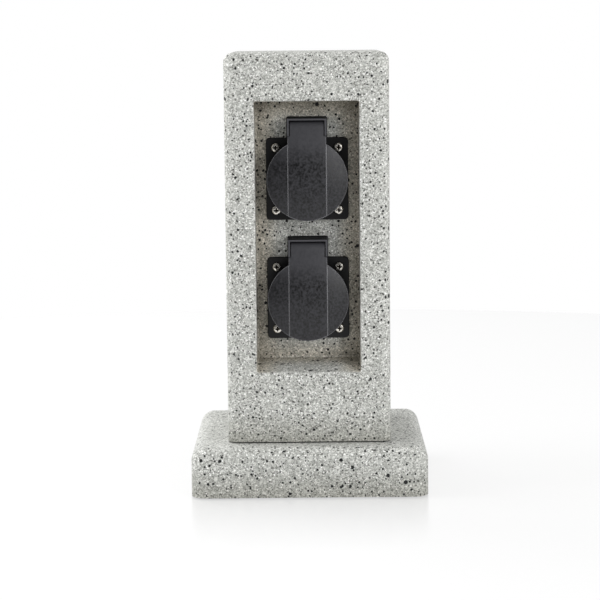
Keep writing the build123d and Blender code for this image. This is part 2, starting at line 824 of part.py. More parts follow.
def contact_screws():
    screws = []
    tip = wire_plane + conductor_radius + terminal_screw_tip_gap
    head_back = terminal_back + terminal_screw_head_height
    slot_front = head_back - clamp_slot_width
    half_slot = clamp_slot_width / 2
    reach = terminal_screw_head_radius + overrun
    for x in (-pin_x, 0, pin_x):
        screw = rod_y(x, 0, terminal_screw_radius, tip, terminal_back + merge_depth)
        screw += rod_y(x, 0, terminal_screw_head_radius, terminal_back, head_back)
        screw -= block(x - reach, x + reach, slot_front, head_back + overrun, -half_slot, half_slot)
        screws.append(screw)
    return group(screws)


def rear_cap():
    back = body_length + rear_cap_thickness
    hole = cap_screw_radius + seat_gap
    cap = rod_y(0, 0, body_radius, body_length, back)
    for side in (-1, 1):
        cap -= rod_y(side * cap_boss_x, 0, hole, body_length - overrun, back + overrun)
    return cap


def rear_cap_screws():
    back = body_length + rear_cap_thickness
    front = back - cap_screw_length + seat_gap
    screws = []
    for side in (-1, 1):
        x = side * cap_boss_x
        head = rod_y(x, 0, cap_screw_head_radius, back, back + cap_screw_head_height)
        screws.append(head + rod_y(x, 0, cap_screw_radius, front, back + merge_depth))
    return group(screws)


def terminal_block():
    half_width = block_width / 2
    bottom = block_centre_height - block_height / 2
    top = block_centre_height + block_height / 2
    shape = block(-half_width, half_width, block_front, block_front + block_depth, bottom, top)
    for x in pole_places:
        shape -= rod_z(x, block_y, clamp_radius + seat_gap, bottom - overrun, top + overrun)
        for z in (-clamp_screw_offset, clamp_screw_offset):
            height = block_centre_height + z
            shape -= rod_y(x, height, clamp_screw_well_radius, block_front - overrun, block_y)
    hole = block_screw_radius + seat_gap
    block_back = block_front + block_depth
    for x in block_screw_places:
        shape -= rod_y(x, block_centre_height, hole, block_front - overrun, block_back + overrun)
    return shape


def terminal_clamps():
    clamps = []
    bottom = block_centre_height - clamp_length / 2
    top = block_centre_height + clamp_length / 2
    for x in pole_places:
        clamp = rod_z(x, block_y, clamp_radius, bottom, top)
        clamp -= rod_z(x, block_y, clamp_bore_radius, bottom - overrun, top + overrun)
        for z in (-clamp_screw_offset, clamp_screw_offset):
            hole = clamp_screw_radius + thread_gap
            clamp -= rod_y(x, block_centre_height + z, hole, block_y - clamp_radius - overrun, block_y)
        clamps.append(clamp)
    return group(clamps)


def terminal_clamp_screws():
    screws = []
    tip = block_y - conductor_radius - seat_gap
    front = tip - clamp_screw_length
    slot_back = front + clamp_slot_width
    half_slot = clamp_slot_width / 2
    reach = clamp_screw_radius + overrun
    for x in pole_places:
        for z in (-clamp_screw_offset, clamp_screw_offset):
            height = block_centre_height + z
            screw = rod_y(x, height, clamp_screw_radius, front, tip)
            slot_bottom = height - half_slot
            slot_top = height + half_slot
            screw -= block(x - reach, x + reach, front - overrun, slot_back, slot_bottom, slot_top)
            screws.append(screw)
    return group(screws)


def terminal_block_screws():
    screws = []
    end = block_front + block_screw_length
    head_front = block_front - block_screw_head_height
    for x in block_screw_places:
        head = rod_y(x, block_centre_height, block_screw_head_radius, head_front, block_front)
        shank = rod_y(x, block_centre_height, block_screw_radius, block_front - merge_depth, end)
        screws.append(head + shank)
    return group(screws)


def bent_radii(points):
    """The largest arc that the two runs beside each corner leave room for."""
    radii = []
    for before, corner, after in zip(points, points[1:], points[2:]):
        run_in = Vector(*corner) - Vector(*before)
        run_out = Vector(*after) - Vector(*corner)
        shorter = min(run_in.length, run_out.length)
        half_turn = radians(run_in.get_angle(run_out)) / 2
        radii.append(bend_share * shorter / tan(half_turn))
    return radii


def wire(points, first_strip, last_strip):
    """An insulated wire along straight runs and arcs, with a bare conductor at each end."""
    line = FilletPolyline(points, radius=bent_radii(points))
    jacket = sweep(Plane(origin=line @ 0, z_dir=line % 0) * Circle(wire_radius), path=line)
    x0, y0, z0 = points[0]
    x1, y1, z1 = points[-1]
    jacket += rod_z(x0, y0, conductor_radius, z0 - first_strip, z0 + wire_end_gap)
    jacket += rod_z(x1, y1, conductor_radius, z1 - wire_end_gap, z1 + last_strip)
    return jacket


def supply_wire(block_x, contact_x):
    """From the top of the terminal block, under the lower socket, up into its terminal."""
    start = block_centre_height + clamp_length / 2 + wire_end_gap
    end = socket_heights["lower"] - terminal_height / 2 - wire_end_gap
    crossing = socket_heights["lower"] - body_radius - supply_clearance - wire_radius
    plane = flange_front + wire_plane
    points = [
        (block_x, block_y, start),
        (block_x, block_y, crossing),
        (contact_x, plane, crossing),
        (contact_x, plane, end),
    ]
    return wire(points, clamp_strip_length, strip_length)


def link_wire(contact_x):
    """From the lower socket's terminal up to the upper one's, bowed a little to the back."""
    start = socket_heights["lower"] + terminal_height / 2 + wire_end_gap
    end = socket_heights["upper"] - terminal_height / 2 - wire_end_gap
    rise = link_rise_share * (end - start)
    plane = flange_front + wire_plane
    points = [
        (contact_x, plane, start),
        (contact_x, plane, start + rise),
        (contact_x, plane + link_bow, (start + end) / 2),
        (contact_x, plane, end - rise),
        (contact_x, plane, end),
    ]
    return wire(points, strip_length, strip_length)


def gland_body():
    body = hexagon_y(0, gland_height, gland_across_flats, gland_flange_front, gland_neck_front)
    shank_end = gland_flange_front + merge_depth
    body += rod_y(0, gland_height, gland_thread_radius, gland_shank_front, shank_end)
    neck_front = gland_neck_front - merge_depth
    body += rod_y(0, gland_height, gland_neck_radius, neck_front, gland_neck_end)
    body -= rod_y(0, gland_height, gland_bore_radius, gland_shank_front - overrun, gland_neck_end + overrun)
    seat_front = gland_neck_end - gland_seat_depth
    return body - rod_y(0, gland_height, gland_seal_radius + seat_gap, seat_front, gland_neck_end + overrun)


def gland_washer():
    hole = gland_thread_radius + seat_gap
    rim = gland_thread_radius + gland_washer_width
    return tube_y(0, gland_height, rim, hole, column_back, gland_flange_front)


def gland_locknut():
    front = cavity_back - gland_nut_thickness
    hole = gland_thread_radius + thread_gap
    nut = hexagon_y(0, gland_height, gland_nut_across_flats, front, cavity_back)
    return nut - rod_y(0, gland_height, hole, front - overrun, cavity_back + overrun)


def gland_seal():
    seat_front = gland_neck_end - gland_seat_depth
    seal = rod_y(0, gland_height, gland_seal_radius, seat_front, gland_seal_end)
    seal = chamfer(seal.edges().group_by(Axis.Y)[-1], gland_seal_wall / 2)
    return seal - rod_y(0, gland_height, cable_radius, seat_front - overrun, gland_seal_end + overrun)


def gland_cap_nut():
    start = gland_neck_front + gland_cap_gap
    shoulder = gland_seal_end + seat_gap
    end = shoulder + gland_cap_nose
    nut = hexagon_y(0, gland_height, gland_across_flats, start, shoulder)
    nose = rod_y(0, gland_height, gland_across_flats / 2, start, end)
    nut += fillet(nose.edges().group_by(Axis.Y)[-1], gland_cap_nose)
    nut -= rod_y(0, gland_height, gland_neck_radius + seat_gap, start - overrun, shoulder)
    return nut - rod_y(0, gland_height, cable_radius + gland_cap_mouth_gap, start, end + overrun)


nodes = {
    "base_block": base_block(),
    "base_cover_plate": base_cover_plate(),
    "base_cover_screws": base_cover_screws(),
    "rubber_feet": rubber_feet(),
    "column_shell": column_shell(),
    "column_seal": column_seal(),
    "column_screws": column_screws(),
    "column_screw_washers": column_screw_washers(),
    "column_inserts": column_inserts(),
    "gland_body": gland_body(),
    "gland_washer": gland_washer(),
    "gland_locknut": gland_locknut(),
    "gland_seal": gland_seal(),
    "gland_cap_nut": gland_cap_nut(),
    "terminal_block": terminal_block(),
    "terminal_clamps": terminal_clamps(),
    "terminal_clamp_screws": terminal_clamp_screws(),
    "terminal_block_screws": terminal_block_screws(),
    "live_supply_wire": supply_wire(-block_pole_pitch, -pin_x),
    "earth_supply_wire": supply_wire(0, 0),
    "neutral_supply_wire": supply_wire(block_pole_pitch, pin_x),
    "live_link_wire": link_wire(-pin_x),
    "earth_link_wire": link_wire(0),
    "neutral_link_wire": link_wire(pin_x),
}

socket_pieces = {
    "socket_body": socket_body(),
    "socket_gasket": socket_gasket(),
    "flange_screws": flange_screws(),
    "flange_inserts": flange_inserts(),
    "contact_carrier": contact_carrier(),
    "pin_contacts": pin_contacts(),
    "earth_strap": earth_strap(),
    "contact_screws": contact_screws(),
    "rear_cap": rear_cap(),
    "rear_cap_screws": rear_cap_screws(),
    "hinge_pin": hinge_pin(),
    "lid_spring": lid_spring(),
    "lid": lid(),
    "lid_seal": lid_seal(),
}
for level, height in socket_heights.items():
    for name, piece in socket_pieces.items():
        nodes[f"{level}_{name}"] = Pos(0, flange_front, height) * piece

os.makedirs("parts", exist_ok=True)
for name, piece in nodes.items():
    export_step(piece, f"parts/{name}.step")
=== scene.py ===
import math

import bmesh
import bpy
from mathutils import Matrix, Vector


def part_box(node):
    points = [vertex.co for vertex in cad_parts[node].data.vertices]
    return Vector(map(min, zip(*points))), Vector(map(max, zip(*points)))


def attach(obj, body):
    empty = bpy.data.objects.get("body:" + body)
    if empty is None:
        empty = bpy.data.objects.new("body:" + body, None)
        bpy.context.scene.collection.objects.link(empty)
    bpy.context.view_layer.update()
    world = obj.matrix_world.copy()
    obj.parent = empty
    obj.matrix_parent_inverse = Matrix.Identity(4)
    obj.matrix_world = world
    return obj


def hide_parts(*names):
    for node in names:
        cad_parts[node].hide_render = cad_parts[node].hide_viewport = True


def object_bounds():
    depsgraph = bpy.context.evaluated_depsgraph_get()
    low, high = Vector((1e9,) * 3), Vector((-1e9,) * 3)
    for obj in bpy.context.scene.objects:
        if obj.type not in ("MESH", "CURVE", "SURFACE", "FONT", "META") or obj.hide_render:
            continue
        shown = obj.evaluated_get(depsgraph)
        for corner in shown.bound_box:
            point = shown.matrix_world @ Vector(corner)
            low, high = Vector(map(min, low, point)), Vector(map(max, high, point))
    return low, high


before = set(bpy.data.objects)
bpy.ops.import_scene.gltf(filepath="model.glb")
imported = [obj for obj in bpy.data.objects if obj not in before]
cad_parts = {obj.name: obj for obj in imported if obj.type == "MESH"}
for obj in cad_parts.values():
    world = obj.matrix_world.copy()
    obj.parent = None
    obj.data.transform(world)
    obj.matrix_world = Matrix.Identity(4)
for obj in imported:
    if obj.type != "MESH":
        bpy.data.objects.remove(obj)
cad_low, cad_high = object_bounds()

# Garden socket post: a column of cast stone on its base, with two flange sockets under hinged lids.
# Metres. X runs to the right, Y to the back, Z up, as in the frame.

bl_info = {
    "name": "Garden Socket Post",
    "version": (1, 0, 0),
    "blender": (4, 5, 0),
    "location": "3D View > Sidebar > Socket Post",
    "description": "Finishes a garden socket post and sets it in a pale studio",
    "category": "Object",
}

MM = 0.001
LEVELS = ("upper", "lower")
METAL = {"Metallic": 1.0}


def linear(hex_colour):
    """An sRGB hex colour as the linear red, green, blue and alpha that shaders take."""
    channels = [int(hex_colour[place:place + 2], 16) / 255 for place in (1, 3, 5)]
    bent = [c / 12.92 if c <= 0.04045 else ((c + 0.055) / 1.055) ** 2.4 for c in channels]
    return (*bent, 1.0)


def per_metre(size_mm):
    """The scale of a pattern that repeats about every so many millimetres."""
    return 1 / (size_mm * MM)


def add(tree, kind, links=None, values=None, stops=None, **settings):
    """Adds a node with its settings, socket values and incoming links, and its stops on a ramp."""
    node = tree.nodes.new(kind)
    for name, value in settings.items():
        setattr(node, name, value)
    for socket, value in (values or {}).items():
        node.inputs[socket].default_value = value
    for socket, source in (links or {}).items():
        tree.links.new(source, node.inputs[socket])
    for number, (place, colour) in enumerate(stops or []):
        elements = node.color_ramp.elements
        element = elements[number] if number < 2 else elements.new(place)
        element.position = place
        element.color = linear(colour) if isinstance(colour, str) else colour
    return node


def finish(name, values):
    """A material with one principled shader, and the coordinates that its patterns follow."""
    material = bpy.data.materials.new(name)
    material.use_nodes = True
    tree = material.node_tree
    tree.nodes.clear()
    shader = add(tree, "ShaderNodeBsdfPrincipled", values=values)
    add(tree, "ShaderNodeOutputMaterial", links={"Surface": shader.outputs["BSDF"]})
    where = add(tree, "ShaderNodeTexCoord").outputs["Object"]
    return material, tree, shader, where


def drift(tree, shader, where, blot_mm, tones, sheen):
    """Lets the colour wander between two tones and the roughness between two values."""
    blots = add(
        tree,
        "ShaderNodeTexNoise",
        links={"Vector": where},
        values={"Scale": per_metre(blot_mm), "Detail": 3.0, "Roughness": 0.6},
    )
    dark, light = tones
    smooth, rough = sheen
    # Most of the noise lies in this middle stretch.
    start, end = 0.35, 0.65
    colour = add(
        tree,
        "ShaderNodeValToRGB",
        links={"Fac": blots.outputs["Fac"]},
        stops=[(start, dark), (end, light)],
    )
    roughness = add(
        tree,
        "ShaderNodeMapRange",
        links={"Value": blots.outputs["Fac"]},
        values={"From Min": start, "From Max": end, "To Min": smooth, "To Max": rough},
    )
    tree.links.new(colour.outputs["Color"], shader.inputs["Base Color"])
    tree.links.new(roughness.outputs["Result"], shader.inputs["Roughness"])
    return colour.outputs["Color"], roughness.outputs["Result"]


def grain(tree, shader, where, grain_mm, depth_mm, under=None):
    """Raises a fine grain, over another normal where one is given, and returns its bump node."""
    height = add(
        tree,
        "ShaderNodeTexNoise",
        links={"Vector": where},
        values={"Scale": per_metre(grain_mm), "Detail": 2.0, "Roughness": 0.5},
    )
    links = {"Height": height.outputs["Fac"]}
    if under:
        links["Normal"] = under
    bump = add(
        tree,
        "ShaderNodeBump",
        links=links,
        values={"Strength": 1.0, "Distance": depth_mm * MM},
    )
    tree.links.new(bump.outputs["Normal"], shader.inputs["Normal"])
    return bump


def sown(tree, where, spacing_mm, radius_mm, share):
    """A mask of loose grains: so large a share of the cells hold one, each of its own size."""
    cells = add(
        tree,
        "ShaderNodeTexVoronoi",
        links={"Vector": where},
        values={"Scale": per_metre(spacing_mm)},
    )
    chance = add(tree, "ShaderNodeSeparateColor", links={"Color": cells.outputs["Color"]})
    held = add(
        tree,
        "ShaderNodeMath",
        links={0: chance.outputs["Green"]},
        values={1: share},
        operation="LESS_THAN",
    )
    # A grain's radius lies between half of the given one and one and a half of it.
    radius = radius_mm / spacing_mm
    reach = add(
        tree,
        "ShaderNodeMath",
        links={0: chance.outputs["Blue"]},
        values={1: radius, 2: radius / 2},
        operation="MULTIPLY_ADD",
    )
    inside = add(
        tree,
        "ShaderNodeMath",
        links={0: cells.outputs["Distance"], 1: reach.outputs["Value"]},
        operation="LESS_THAN",
    )
    both = {0: inside.outputs["Value"], 1: held.outputs["Value"]}
    return add(tree, "ShaderNodeMath", links=both, operation="MULTIPLY").outputs["Value"]


def ragged_places(tree, where, reach):
    """The coordinates pushed about a little, which bends round cells into ragged grains."""
    push = add(
        tree,
        "ShaderNodeTexNoise",
        links={"Vector": where},
        values={"Scale": per_metre(1.0), "Detail": 1.0},
    )
    centred = add(
        tree,
        "ShaderNodeVectorMath",
        links={0: push.outputs["Color"]},
        values={1: (0.5, 0.5, 0.5)},
        operation="SUBTRACT",
    )
    return add(
        tree,
        "ShaderNodeVectorMath",
        links={0: centred.outputs["Vector"], 2: where},
        values={1: (reach, reach, reach)},
        operation="MULTIPLY_ADD",
    ).outputs["Vector"]


def paint_corner_shade(tree, colour, reach):
    """Paints a warm shade into the recess, darkest in the last few millimetres of a corner."""
    openness = add(
        tree,
        "ShaderNodeAmbientOcclusion",
        values={"Distance": reach},
        samples=6,
        only_local=True,
    ).outputs["AO"]
    shade_tint = add(
        tree,
        "ShaderNodeValToRGB",
        links={"Fac": openness},
        stops=[(0.5, "#c0b8ab"), (0.66, "#f4ebdf"), (0.85, "#fff9f0"), (0.98, "#ffffff")],
    ).outputs["Color"]
    return add(
        tree,
        "ShaderNodeMix",
        data_type="RGBA",
        blend_type="MULTIPLY",
        links={6: colour, 7: shade_tint},
        values={0: 1.0},
    ).outputs[2]


def darken_foot(tree, where, colour, foot, height):
    """Darkens the lowest part of a face, most at its foot."""
    rise = add(tree, "ShaderNodeSeparateXYZ", links={"Vector": where}).outputs["Z"]
    share = add(
        tree,
        "ShaderNodeMapRange",
        links={"Value": rise},
        values={"From Min": foot, "From Max": foot + height, "To Min": 1.0, "To Max": 0.0},
    ).outputs["Result"]
    return add(
        tree,
        "ShaderNodeMix",
        data_type="RGBA",
        blend_type="MULTIPLY",
        links={0: share, 6: colour},
        values={7: linear("#d8d7d2")},
    ).outputs[2]


def cast_stone(look, name):
    # Cast stone: resin filled with marble sand, poured in a smooth mould. The eye sees a pale grey
    # ground that is mottled by the sand, with loose grains of white, grey and black, and no gloss.
    material, tree, shader, where = finish("cast resin stone", {"Roughness": 0.6, "IOR": 1.5})
    ragged = ragged_places(tree, where, look.chip_raggedness)
    sand = add(
        tree,
        "ShaderNodeTexVoronoi",
        links={"Vector": ragged},
        values={"Scale": 1 / look.sand_grain},
    )
    chance = add(tree, "ShaderNodeSeparateColor", links={"Color": sand.outputs["Color"]})
    ground = (*look.stone_colour, 1.0)
    colour = add(
        tree,
        "ShaderNodeValToRGB",
        links={"Fac": chance.outputs["Red"]},
        stops=[(0.0, "#82837e"), (0.35, ground), (0.65, "#c0c1bc"), (1.0, "#e8e8e4")],
    ).outputs["Color"]
    # Each kind of grain: spacing and radius in millimetres, share of the cells with one, colour.
    grains = [
        (1.6, 0.38, 0.34, "#74746f"),
        (1.5, 0.38, 0.28, "#f8f8f6"),
        (2.1, 0.42, 0.34, "#4c4b47"),
        (2.6, 0.56, 0.48, "#121213"),
        (5.0, 0.90, 0.34, "#0c0c0d"),
    ]
    for spacing, radius, share, tint in grains:
        mask = sown(tree, ragged, spacing, radius, share)
        colour = add(
            tree,
            "ShaderNodeMix",
            data_type="RGBA",
            links={0: mask, 6: colour},
            values={7: linear(tint)},
        ).outputs[2]
    # Painted shade darkens the stone in its corners, with a warm tint.
    colour = paint_corner_shade(tree, colour, look.corner_shade_reach)
    # Each piece is darker towards its foot.
    colour = darken_foot(tree, where, colour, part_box(name)[0].z, look.darkened_height)
    tree.links.new(colour, shader.inputs["Base Color"])
    grain(tree, shader, where, grain_mm=1.2, depth_mm=0.03)
    return material


def paint_edge_highlights(tree, shader, height, colour, edge_mm, highlight_colour, top):
    """Paints a highlight along edges below the given top."""
    below = add(
        tree, "ShaderNodeMath", links={0: height}, values={1: top}, operation="LESS_THAN"
    ).outputs["Value"]
    # A rounded normal leaves the true one only near an edge.
    off_edge, on_edge = 0.995, 0.9
    rounded = add(tree, "ShaderNodeBevel", values={"Radius": edge_mm * MM}, samples=6)
    facing = add(tree, "ShaderNodeNewGeometry").outputs["True Normal"]
    alike = add(
        tree,
        "ShaderNodeVectorMath",
        links={0: rounded.outputs["Normal"], 1: facing},
        operation="DOT_PRODUCT",
    )
    edge_share = add(
        tree,
        "ShaderNodeMapRange",
        links={"Value": alike.outputs["Value"]},
        values={"From Min": off_edge, "From Max": on_edge, "To Min": 0.0, "To Max": 1.0},
    )
    both = {0: edge_share.outputs["Result"], 1: below}
    share = add(tree, "ShaderNodeMath", links=both, operation="MULTIPLY").outputs["Value"]
    # The painted highlight along the edges.
    lit_edges = add(
        tree,
        "ShaderNodeMix",
        data_type="RGBA",
        links={0: share, 6: colour},
        values={7: linear(highlight_colour)},
    )
    tree.links.new(lit_edges.outputs[2], shader.inputs["Base Color"])


def eroded_front(look, tree, where, facing, level):
    """A mask of the hinge housing's front, without the strip along its top."""
    low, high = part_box(f"{level}_socket_body")
    place = add(tree, "ShaderNodeSeparateXYZ", links={"Vector": where})
    # A face that looks to the front has a normal against Y.
    to_the_front = -0.3
    limits = (
        (facing.outputs["Y"], to_the_front),
        (place.outputs["Y"], low.y + look.eroded_depth),
        (place.outputs["Z"], high.z - look.polished_top),
    )
    mask = None
    for measure, limit in limits:
        within = add(
            tree, "ShaderNodeMath", links={0: measure}, values={1: limit}, operation="LESS_THAN"
        ).outputs["Value"]
        if mask:
            both = {0: mask, 1: within}
            within = add(tree, "ShaderNodeMath", links=both, operation="MULTIPLY").outputs["Value"]
        mask = within
    return mask


def socket_polyamide(look, level):
    # Polyamide, injection moulded: the flange and the collar are polished and look black. The
    # hinge housing's front is eroded, which scatters the light into a grey, and its top is coarse.
    material, tree, shader, where = finish("black polyamide, part eroded", {"IOR": 1.45})
    black = Vector(look.socket_colour)
    tones = [(*(black * share), 1.0) for share in (0.8, 1.2)]
    gloss_colour, gloss = drift(tree, shader, where, blot_mm=9.0, tones=tones, sheen=(0.3, 0.4))
    normal = add(tree, "ShaderNodeTexCoord").outputs["Normal"]
    facing = add(tree, "ShaderNodeSeparateXYZ", links={"Vector": normal})
    eroded = eroded_front(look, tree, where, facing, level)
    colour = add(
        tree,
        "ShaderNodeMix",
        data_type="RGBA",
        links={0: eroded, 6: gloss_colour},
        values={7: (*look.eroded_colour, 1.0)},
    )
    tree.links.new(colour.outputs[2], shader.inputs["Base Color"])
    # A face that looks up has a normal along Z.
    sloped, flat = 0.5, 0.9
    upward = add(
        tree,
        "ShaderNodeMapRange",
        links={"Value": facing.outputs["Z"]},
        values={"From Min": sloped, "From Max": flat},
    ).outputs["Result"]
    # The eroded front is rougher than the polish, and what looks up is rougher still.
    eroded_roughness, top_roughness = 0.45, 0.95
    roughness = gloss
    for mask, rougher in ((eroded, eroded_roughness), (upward, top_roughness)):
        roughness = add(
            tree,
            "ShaderNodeMix",
            data_type="FLOAT",
            links={0: mask, 2: roughness},
            values={3: rougher},
        ).outputs[0]
    tree.links.new(roughness, shader.inputs["Roughness"])
    fine_mm, coarse_mm = 0.01, 0.3
    bump = grain(tree, shader, where, grain_mm=0.5, depth_mm=fine_mm)
    depth = add(
        tree,
        "ShaderNodeMapRange",
        links={"Value": upward},
        values={"To Min": fine_mm * MM, "To Max": coarse_mm * MM},
    )
    tree.links.new(depth.outputs["Result"], bump.inputs["Distance"])
    return material


def lid_polyamide(look, level):
    # Polyamide with a face eroded in the mould: a dark grey with a fine matt grain. The light rolls
    # across it as it does over a slight crown.
    material, tree, shader, where = finish("dark polyamide, eroded", {"IOR": 1.45})
    grey = Vector(look.lid_colour)
    tones = [(*(grey * share), 1.0) for share in (0.25, 2.1)]
    colour = drift(tree, shader, where, blot_mm=1.3, tones=tones, sheen=(0.3, 0.56))[0]
    low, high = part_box(f"{level}_lid")
    # A painted highlight makes the tongue paler towards its top.
    height = add(tree, "ShaderNodeSeparateXYZ", links={"Vector": where}).outputs["Z"]
    painted_top_light = add(
        tree,
        "ShaderNodeMapRange",
        links={"Value": height},
        values={
            "From Min": high.z - look.top_light_length,
            "From Max": high.z - look.top_light_length / 2,
            "To Max": 0.8,
        },
    )
    tongue = add(
        tree,
        "ShaderNodeMix",
        data_type="RGBA",
        links={0: painted_top_light.outputs["Result"], 6: colour},
        values={7: linear("#424246")},
    )
    slots_end = high.z - look.hinge_slot_length
    # Painted highlights along the lid's edges, except beside the hinge slots.
    paint_edge_highlights(
        tree, shader, height, tongue.outputs[2], edge_mm=0.6, highlight_colour="#a0a0a4", top=slots_end
    )
    # A crown falls by half the square of the reach over its radius.
    round_radius = (high.x - low.x) / 2
    middle = ((low.x + high.x) / 2, low.y, low.z + round_radius)
    reach = add(
        tree,
        "ShaderNodeVectorMath",
        links={0: where},
        values={1: middle},
        operation="DISTANCE",
    ).outputs["Value"]
    squared = add(tree, "ShaderNodeMath", links={0: reach, 1: reach}, operation="MULTIPLY")
    crown = add(
        tree,
        "ShaderNodeBump",
        links={"Height": squared.outputs["Value"]},
        values={"Strength": 1.0, "Distance": 0.5 / look.lid_crown_radius},
        invert=True,
    )
    # The real grain is about 0.1 mm and is drawn coarser, so that it shows.
    grain(tree, shader, where, grain_mm=0.9, depth_mm=0.04, under=crown.outputs["Normal"])
    return material


def plain_finish(name, values, tones, sheen, blot_mm, grain_mm, depth_mm):
    """A finish that only needs its tones, its sheen and its grain."""
    material, tree, shader, where = finish(name, values)
    drift(tree, shader, where, blot_mm, tones, sheen)
    grain(tree, shader, where, grain_mm, depth_mm)
    return material


def nickel_plate():
    # Bright nickel plate on turned steel: a warm mirror, a little clouded.
    tones = ("#dcd6cc", "#f6f3ee")
    return plain_finish(
        "nickel plated steel",
        METAL,
        tones,
        sheen=(0.16, 0.3),
        blot_mm=0.9,
        grain_mm=0.15,
        depth_mm=0.002,
    )


def paint_cross_shade():
    # The cross is struck after turning; its brown-black is painted shade in its hollow.
    tones = ("#2a2622", "#4a4138")
    return plain_finish(
        "steel in the cross, painted dark",
        METAL,
        tones,
        sheen=(0.5, 0.7),
        blot_mm=0.4,
        grain_mm=0.2,
        depth_mm=0.005,
    )


def zinc_plate():
    # Zinc plate, blue passivated: a pale metal with a cloudy sheen.
    tones = ("#b2b8c0", "#cfd2d6")
    return plain_finish(
        "zinc plated steel",
        METAL,
        tones,
        sheen=(0.28, 0.45),
        blot_mm=2.5,
        grain_mm=0.3,
        depth_mm=0.004,
    )


def turned_brass():
    # Turned brass: yellow, with a slight tarnish and fine tool marks.
    tones = ("#c19a48", "#dcbc70")
    return plain_finish(
        "turned brass",
        METAL,
        tones,
        sheen=(0.24, 0.42),
        blot_mm=2.0,
        grain_mm=0.2,
        depth_mm=0.003,
    )


def contact_strip():
    # Rolled and plated contact strip: an even yellowish grey metal.
    tones = ("#c0b9a6", "#d8d2c4")
    return plain_finish(
        "plated contact strip",
        METAL,
        tones,
        sheen=(0.22, 0.36),
        blot_mm=3.0,
        grain_mm=0.2,
        depth_mm=0.003,
    )


def spring_wire():
    # Drawn stainless spring wire: grey, with the dull skin of the draw.
    tones = ("#9a9ca2", "#b6b8bc")
    return plain_finish(
        "drawn spring wire",
        METAL,
        tones,
        sheen=(0.28, 0.42),
        blot_mm=0.6,
        grain_mm=0.15,
        depth_mm=0.002,
    )


def blackened_pin():
    # Black oxide on ground steel: nearly black and slightly glossy, so the pin hides in its slots.
    # The oxide lets the metal through only in part.
    tones = ("#151516", "#1f1f20")
    return plain_finish(
        "black oxide steel",
        {"Metallic": 0.6},
        tones,
        sheen=(0.34, 0.46),
        blot_mm=1.0,
        grain_mm=0.2,
        depth_mm=0.002,
    )


def moulded_rubber():
    # Moulded rubber: black, soft and dusty.
    tones = ("#171718", "#232324")
    return plain_finish(
        "moulded rubber",
        {"IOR": 1.5},
        tones,
        sheen=(0.72, 0.86),
        blot_mm=4.0,
        grain_mm=0.5,
        depth_mm=0.02,
    )


def pressed_melamine():
    # Pressed melamine: off-white and slightly glossy.
    tones = ("#d2cfc5", "#e2dfd7")
    return plain_finish(
        "pressed melamine",
        {"IOR": 1.55},
        tones,
        sheen=(0.34, 0.46),
        blot_mm=6.0,
        grain_mm=0.6,
        depth_mm=0.01,
    )


def gland_polyamide():
    # Glass-filled polyamide: black, with a skin that shows a faint flow of fibres.
    tones = ("#161618", "#222224")
    return plain_finish(
        "glass-filled polyamide",
        {"IOR": 1.5},
        tones,
        sheen=(0.36, 0.5),
        blot_mm=5.0,
        grain_mm=0.5,
        depth_mm=0.01,
    )


def wire_sleeve(colour_name, tones):
    # Extruded soft vinyl: an even colour with a low sheen.
    return plain_finish(
        f"extruded vinyl, {colour_name}",
        {"IOR": 1.53},
        tones,
        sheen=(0.4, 0.52),
        blot_mm=5.0,
        grain_mm=0.4,
        depth_mm=0.005,
    )


def earth_sleeve():
    # The earth wire's vinyl is extruded in two colours, green on one half and yellow on the other.
    # Each is even, so only the sheen drifts.
    material, tree, shader, where = finish("extruded vinyl, green and yellow", {"IOR": 1.53})
    green, yellow = "#31893e", "#dccb3c"
    tones = (green, green)
    left = drift(tree, shader, where, blot_mm=5.0, tones=tones, sheen=(0.4, 0.52))[0]
    across = add(tree, "ShaderNodeSeparateXYZ", links={"Vector": where}).outputs["X"]
    right = add(
        tree, "ShaderNodeMath", links={0: across}, values={1: 0.0}, operation="GREATER_THAN"
    ).outputs["Value"]
    halves = add(
        tree,
        "ShaderNodeMix",
        data_type="RGBA",
        links={0: right, 6: left},
        values={7: linear(yellow)},
    )
    tree.links.new(halves.outputs[2], shader.inputs["Base Color"])
    grain(tree, shader, where, grain_mm=0.4, depth_mm=0.005)
    return material


def cover(material, names):
    """Gives whole pieces of the frame one finish."""
    for name in names:
        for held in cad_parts[name].material_slots:
            held.material = material


def both_levels(*names):
    """The names of like pieces in the upper and the lower socket."""
    return [f"{level}_{name}" for level in LEVELS for name in names]


def as_object(mesh, name, materials=()):
    """A bmesh as an object at the origin, with its faces turned outwards."""
    bmesh.ops.remove_doubles(mesh, verts=mesh.verts, dist=0.001 * MM)
    bmesh.ops.recalc_face_normals(mesh, faces=mesh.faces)
    data = bpy.data.meshes.new(name)
    mesh.to_mesh(data)
    mesh.free()
    for material in materials:
        data.materials.append(material)
    made = bpy.data.objects.new(name, data)
    bpy.context.scene.collection.objects.link(made)
    return made


